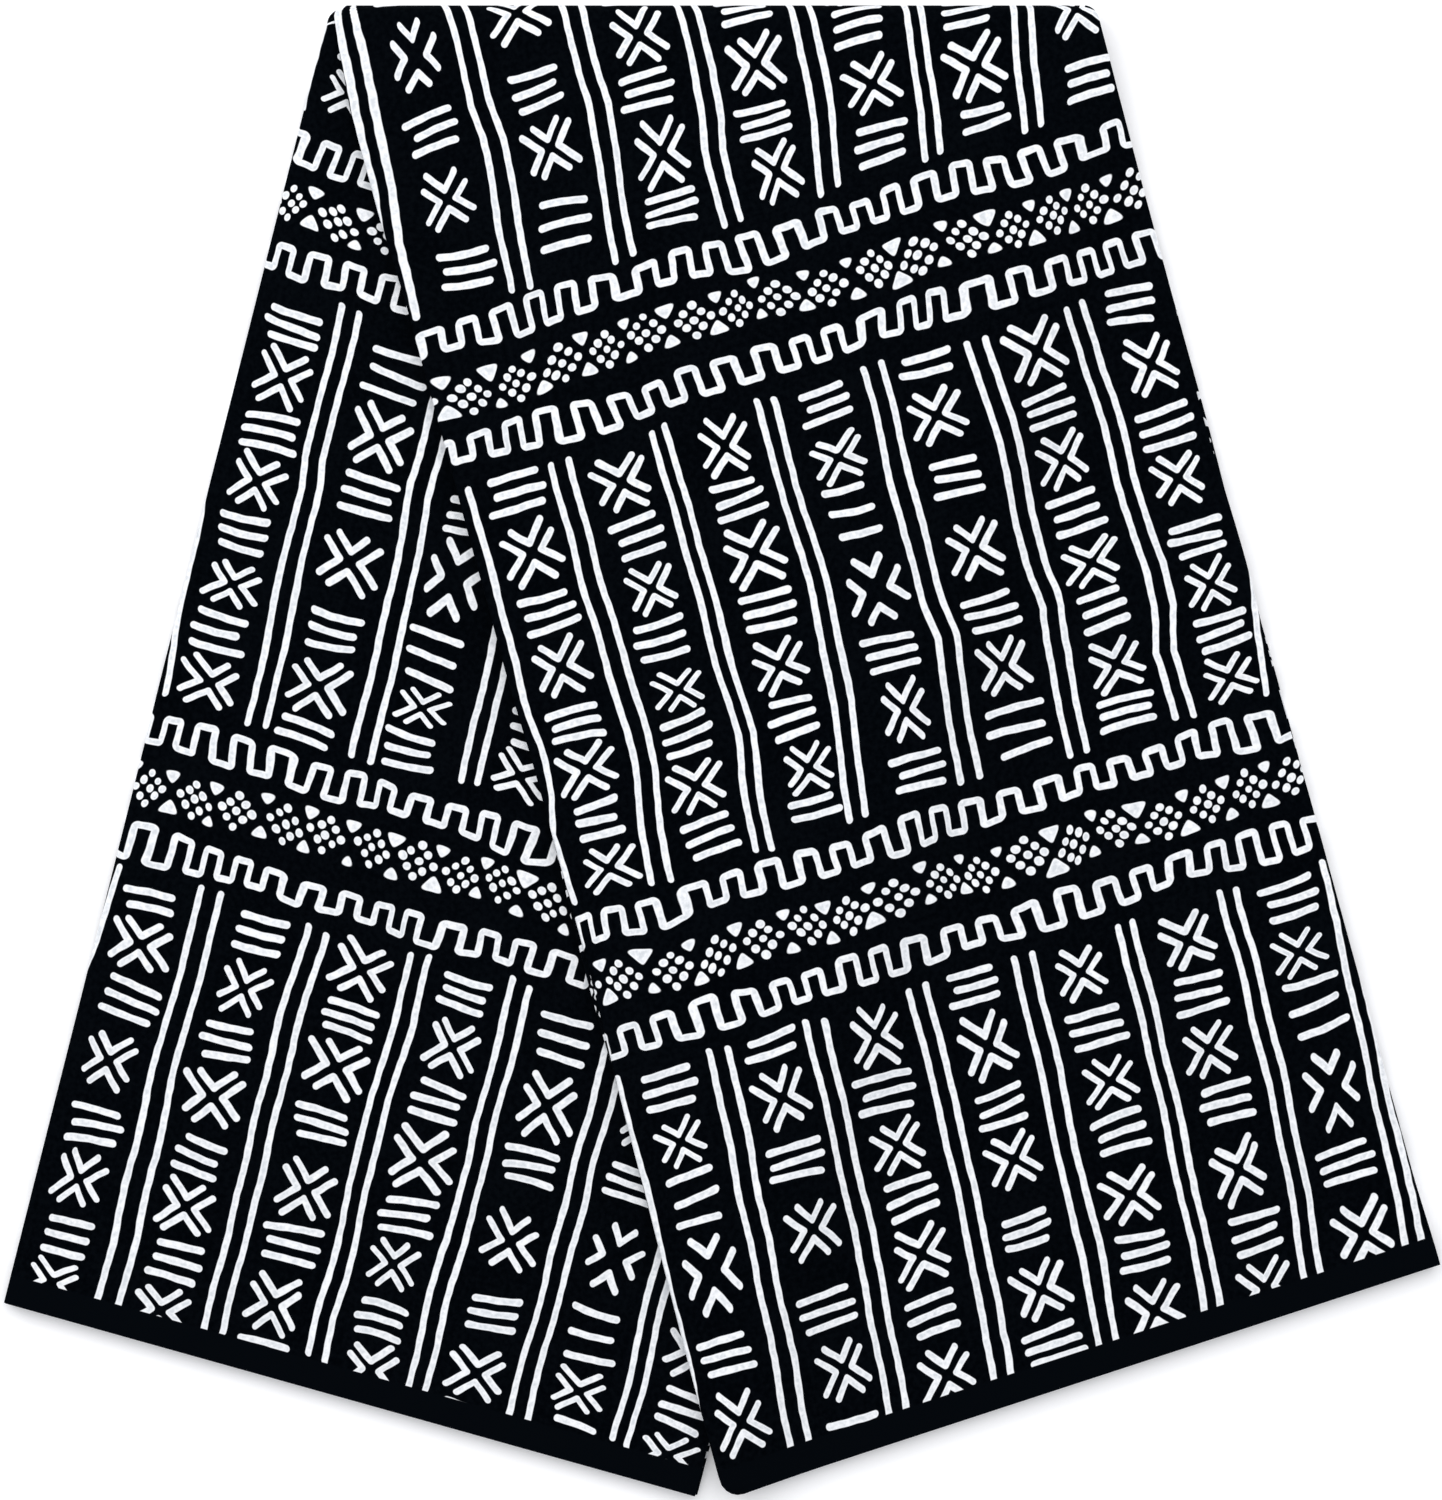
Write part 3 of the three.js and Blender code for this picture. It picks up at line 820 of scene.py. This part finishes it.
def dots_and_stones(tree, over, across_band, hand):
    """Distance from the diamonds of dots along the middle of a band, and from the stones between them."""
    moved = maths(tree, "MULTIPLY_ADD", hand["Z"], DOTS_DRIFT, over)
    drift = maths(tree, "MULTIPLY_ADD", hand["Y"], DOTS_DRIFT, -DOTS_DRIFT / 2)
    y = maths(tree, "ADD", across_band, drift)
    in_diamonds = maths(tree, "DIVIDE", moved, DIAMOND)
    diamond = maths(tree, "ROUND", in_diamonds)
    group = joined(tree, diamond)
    aside, up, tilt = by_hand(tree, group, DIAMOND_ASIDE, DIAMOND_UP, DIAMOND_TILT)
    from_diamond = maths(tree, "SUBTRACT", in_diamonds, diamond)
    x = maths(tree, "MULTIPLY_ADD", from_diamond, DIAMOND, aside)
    lifted = maths(tree, "ADD", y, up)
    tilted = maths(tree, "MULTIPLY_ADD", x, tilt, lifted)
    down_right = maths(tree, "ADD", x, tilted)
    up_right = maths(tree, "SUBTRACT", x, tilted)
    offs = []
    kept = []
    for slope in (down_right, up_right):
        steps = maths(tree, "MULTIPLY", slope, math.sqrt(0.5) / DOT_PITCH)
        number = maths(tree, "ROUND", steps)
        at_least = maths(tree, "MAXIMUM", number, -1.0)
        kept.append(maths(tree, "MINIMUM", at_least, 1.0))
        off = maths(tree, "SUBTRACT", steps, kept[-1])
        offs.append(maths(tree, "MULTIPLY", off, DOT_PITCH))
    both = joined(tree, *offs)
    dot = joined(tree, *kept, diamond)
    dot_aside, dot_up, smaller = by_hand(tree, dot, DOT_NUDGE, DOT_NUDGE, DOT_SMALLER)
    nudge = joined(tree, dot_aside, dot_up)
    from_dot = length_of(tree, vector_maths(tree, "ADD", both, nudge))
    off_dot = maths(tree, "ADD", from_dot, smaller)
    dots = maths(tree, "SUBTRACT", off_dot, DOT_RADIUS)

    side = maths(tree, "SIGN", y)
    number = maths(tree, "FLOOR", in_diamonds)
    which = joined(tree, number, side)
    shift, tip, base = by_hand(tree, which, STONE_MIDDLE, STONE_TIP, STONE_BASE)
    within = maths(tree, "FRACT", in_diamonds)
    from_middle = maths(tree, "MULTIPLY_ADD", within, DIAMOND, shift)
    beside = length_of(tree, joined(tree, from_middle, STONE_BLUNT))
    out = maths(tree, "ABSOLUTE", y)
    from_tip = maths(tree, "SUBTRACT", tip, out)
    off_slope = maths(tree, "MULTIPLY_ADD", from_tip, STONE_SLOPE, beside)
    to_slope = maths(tree, "MULTIPLY", off_slope, 1 / math.hypot(1, STONE_SLOPE))
    to_base = maths(tree, "SUBTRACT", out, base)
    rounding = maths(tree, "MULTIPLY_ADD", tip, *STONE_ROUNDING)
    rounded = maths(tree, "SMOOTH_MAX", to_slope, to_base, rounding)
    return maths(tree, "MINIMUM", dots, rounded)


def hand_wobble(tree, in_mm):
    """How far the hand strays at a place, as a vector."""
    wobbles = []
    for size, reach in WOBBLES:
        noise = noise_on(tree, in_mm, size, 0.0)
        centred = vector_maths(tree, "SUBTRACT", noise.outputs["Color"], (0.5, 0.5, 0.5))
        wobbles.append(scaled(tree, centred, reach))
    return vector_maths(tree, "ADD", *wobbles)


def bands(tree, over, along, wobble):
    """Distance from the bands' meanders, dots and stones. Each side of a band has its own meander."""
    from_first = maths(tree, "SUBTRACT", along, FIRST_BAND)
    straight_band = maths(tree, "WRAP", from_first, PANEL / 2, -PANEL / 2)
    shake = split(tree, wobble)
    across_band = maths(tree, "ADD", straight_band, shake["Y"])
    over_shaken = maths(tree, "ADD", over, shake["X"])
    side = maths(tree, "SIGN", straight_band)
    band_number = maths(tree, "DIVIDE", from_first, PANEL)
    whole_band = maths(tree, "ROUND", band_number)
    drawn_over = maths(tree, "MULTIPLY", over, 1 / DRAWN_ALONG)
    side_row = maths(tree, "MULTIPLY_ADD", whole_band, DRAWN_APART, side)
    hands = []
    for row in (side_row, whole_band):
        noise = noise_on(tree, joined(tree, drawn_over, row), 1.0, 1.0)
        hands.append(split(tree, noise.outputs["Color"]))
    meanders = meander(tree, over_shaken, across_band, hands[0])
    middle = dots_and_stones(tree, over_shaken, across_band, hands[1])
    return maths(tree, "MINIMUM", meanders, middle)


def printed_cotton():
    """The cloth's material: the dye and the undyed motifs, the weave, and the plain selvedge."""
    material = bpy.data.materials.new("cotton_plain_woven_dyed")
    material.use_nodes = True
    tree = material.node_tree
    tree.nodes.clear()
    in_mm = scaled(tree, add(tree, "ShaderNodeUVMap", {"uv_map": "cloth"}), 1 / MM)
    thread_over, thread_along, _ = split(tree, in_mm)
    print_mm = scaled(tree, add(tree, "ShaderNodeUVMap", {"uv_map": "print"}), 1 / MM)
    over, along, _ = split(tree, print_mm)

    # Where the print is, as the distance from the nearest stroke's outline, negative inside it
    wobble = hand_wobble(tree, in_mm)
    distance = double_lines(tree, wobble)
    for drawn in (
        crossed_chevrons(tree, wobble),
        stacked_bars(tree, wobble),
        bands(tree, over, along, wobble),
    ):
        distance = maths(tree, "MINIMUM", distance, drawn)

    # The print stops at a straight line beside each selvedge
    middle_along = maths(tree, "SUBTRACT", thread_along, CLOTH_WIDTH / 2)
    to_middle = maths(tree, "ABSOLUTE", middle_along)
    past_print = maths(tree, "SUBTRACT", to_middle, CLOTH_WIDTH / 2 - SELVEDGE)
    distance = maths(tree, "MAXIMUM", distance, past_print)
    selvedge = ramp(tree, past_print, -SELVEDGE_SOFTNESS, SELVEDGE_SOFTNESS, 0.0, 1.0, "SMOOTHSTEP")
    undyed = ramp(tree, distance, -EDGE_SOFTNESS, EDGE_SOFTNESS, 1.0, 0.0, "SMOOTHSTEP")

    # Slubs and patches make the cotton uneven. A motif is cleanest at its rim, and its threads show more
    # towards the middle of the stroke.
    slubs = noise_on(tree, in_mm, SLUB, 2.0)
    patches = noise_on(tree, in_mm, PATCH, 1.0)
    slub_share = maths(tree, "MULTIPLY", slubs, SLUB_SHARE)
    uneven = maths(tree, "MULTIPLY_ADD", patches, PATCH_SHARE, slub_share)
    spread = ramp(tree, uneven, UNEVEN_FROM, UNEVEN_TO, 0.0, 1.0)
    inside = ramp(tree, distance, STROKE_CORE, STROKE_RIM, 1.0, RIM_GREY)
    greyed = maths(tree, "MULTIPLY", spread, inside)
    white = mixed(tree, greyed, *[linear(colour) for colour in COTTON])
    black = mixed(tree, spread, *[linear(colour) for colour in DYE])
    ground = mixed(tree, selvedge, black, linear(SELVEDGE_DYE))

    # The weave
    turn = 2 * math.pi / THREAD_PITCH
    weft = maths(tree, "SINE", maths(tree, "MULTIPLY", thread_over, turn))
    warp = maths(tree, "SINE", maths(tree, "MULTIPLY", thread_along, turn))
    woven = maths(tree, "MULTIPLY", warp, weft)
    height = maths(tree, "MULTIPLY_ADD", woven, WEAVE_SHARE, slubs)
    relief_of_weave = {"Strength": WEAVE_STRENGTH, "Distance": WEAVE_DEPTH * MM, "Height": height}
    surface = add(tree, "ShaderNodeBsdfPrincipled", inputs={
        "Base Color": mixed(tree, undyed, ground, white),
        "Roughness": ramp(tree, undyed, 0.0, 1.0, DYE_ROUGHNESS, COTTON_ROUGHNESS),
        "Normal": add(tree, "ShaderNodeBump", inputs=relief_of_weave),
        "Specular IOR Level": SPECULAR,
    })
    add(tree, "ShaderNodeOutputMaterial", inputs=[surface])
    return material


cloth.data.materials.clear()
cloth.data.materials.append(printed_cotton())
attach(cloth, "root")
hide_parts("folded_cloth")


# Floor, light and camera
# A plain pale floor under the cloth, with soft light from overhead and a little more from the upper left,
# and a camera straight above.
FLOOR_HALF = 6.0  # in metres, as all places and sizes here
FLOOR_Z = -0.0004  # just under the cloth
PAPER_ROUGHNESS = 0.95
PAPER_GLOW = 0.15  # keeps the paper white where its light falls off
SKY_STRENGTH = 0.55
floor_corners = [(x * FLOOR_HALF, y * FLOOR_HALF, 0) for x, y in ((-1, -1), (1, -1), (1, 1), (-1, 1))]
floor_mesh = bpy.data.meshes.new("floor")
floor_mesh.from_pydata(floor_corners, [], [(0, 1, 2, 3)])
floor = bpy.data.objects.new("floor", floor_mesh)
floor.location.z = FLOOR_Z
bpy.context.scene.collection.objects.link(floor)
paper = bpy.data.materials.new("paper_matt_white")
paper.use_nodes = True
paper_surface = paper.node_tree.nodes["Principled BSDF"].inputs
paper_surface["Base Color"].default_value = linear("#fbfbfc")
paper_surface["Roughness"].default_value = PAPER_ROUGHNESS
paper_surface["Emission Color"].default_value = linear("#ffffff")
paper_surface["Emission Strength"].default_value = PAPER_GLOW
floor_mesh.materials.append(paper)

LIGHTS = (
    dict(name="overhead", place=(0.0, 0.85, 2.5), size=3.2, watts=50),
    dict(name="upper_left", place=(-1.6, 1.2, 1.4), size=1.2, watts=11),
)
for light in LIGHTS:
    lamp = bpy.data.lights.new(light["name"], "AREA")
    lamp.shape = "DISK"
    lamp.size = light["size"]
    lamp.energy = light["watts"]
    holder = bpy.data.objects.new(light["name"], lamp)
    holder.location = light["place"]
    aim = -holder.location.normalized()
    holder.rotation_euler = aim.to_track_quat("-Z", "Y").to_euler()
    bpy.context.scene.collection.objects.link(holder)

world = bpy.data.worlds.new("studio")
bpy.context.scene.world = world
world.use_nodes = True
sky = world.node_tree.nodes["Background"].inputs
sky["Color"].default_value = linear("#f4f6fb")
sky["Strength"].default_value = SKY_STRENGTH
bpy.context.scene.view_settings.view_transform = "Standard"

FRAME_HEIGHT = 0.6141  # real height that the picture takes in, at the cloth's upper face
CAMERA_PLACE = (0.0004, 0.0002, 3.0)
CLOTH_TOP = 0.010
eye = bpy.data.cameras.new("camera")
eye.sensor_fit = "VERTICAL"
eye.sensor_height = 24.0
eye.lens = eye.sensor_height * (CAMERA_PLACE[2] - CLOTH_TOP) / FRAME_HEIGHT
camera = bpy.data.objects.new("camera", eye)
camera.location = CAMERA_PLACE
bpy.context.scene.collection.objects.link(camera)
bpy.context.scene.camera = camera
